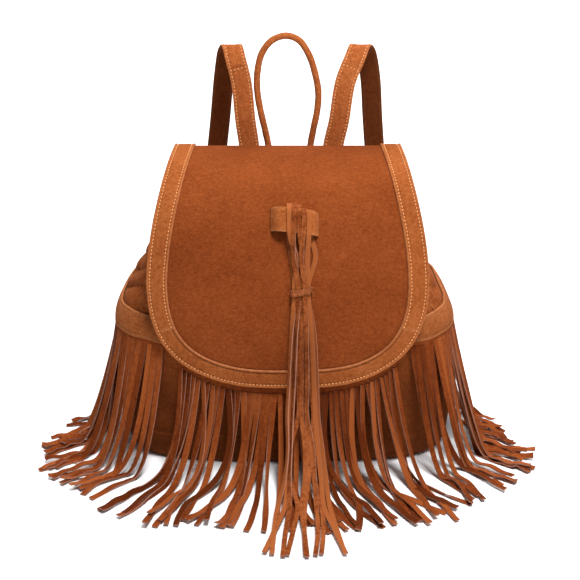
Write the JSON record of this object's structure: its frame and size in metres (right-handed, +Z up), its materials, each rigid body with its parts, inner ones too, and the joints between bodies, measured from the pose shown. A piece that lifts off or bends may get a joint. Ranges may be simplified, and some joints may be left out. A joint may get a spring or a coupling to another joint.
{
  "type": "backpack",
  "caption": "Soft suede backpack with a drawstring mouth under a rounded flap, a loop handle, two shoulder straps and long cut fringes.",
  "frame": {"origin": "middle of the underside of the base panel, where the bag stands", "axes": "+Z up; -Y out of the front, where the flap hangs; +X to the right of someone looking at the front"},
  "size_m": [0.4462, 0.3598, 0.3675],
  "materials": {
    "suede": "napped tan suede, matt",
    "border_suede": "napped tan suede, a little paler, with raised stitched edges",
    "fringe_suede": "cut suede strips with pale raw edges",
    "lining": "plain woven brown lining cloth",
    "cord": "twisted brown cotton cord",
    "board": "grey-brown fibre board",
    "brass": "satin antique brass"
  },
  "bodies": {
    "root": {"base_panel": "suede", "front_panel": "suede", "side_gusset_right": "suede", "side_gusset_left": "suede", "back_panel": "suede", "base_board": "board", "lining": "lining", "waist_band": "border_suede", "side_fringe_left": "fringe_suede", "side_fringe_right": "fringe_suede", "snap_socket": "brass", "drawstring": "cord", "eyelet_1": "brass", "eyelet_2": "brass", "eyelet_3": "brass", "eyelet_4": "brass", "eyelet_5": "brass", "eyelet_6": "brass", "eyelet_7": "brass", "eyelet_8": "brass", "eyelet_9": "brass", "eyelet_10": "brass", "handle": "suede", "back_patch": "border_suede", "shoulder_strap_left": "suede", "strap_adjuster_left": "brass", "lower_strap_left": "suede", "strap_anchor_left": "suede", "shoulder_strap_right": "suede", "strap_adjuster_right": "brass", "lower_strap_right": "suede", "strap_anchor_right": "suede"},
    "flap": {"flap_panel": "suede", "flap_lining": "lining", "flap_border_left": "border_suede", "flap_border_bottom": "border_suede", "flap_border_right": "border_suede", "flap_fringe": "fringe_suede", "tassel_tab": "suede", "tassel_lace_1": "fringe_suede", "tassel_lace_2": "fringe_suede", "tassel_lace_3": "fringe_suede", "tassel_lace_4": "fringe_suede", "tassel_lace_5": "fringe_suede", "tassel_tie": "fringe_suede", "snap_stud": "brass"}
  },
  "joints": [
    {"name": "flap_hinge", "type": "hinge", "parent": "root", "child": "flap", "pos_m": [0, 0.044, 0.268], "axis": [-1, 0, 0], "range_deg": [0, 95]}
  ]
}
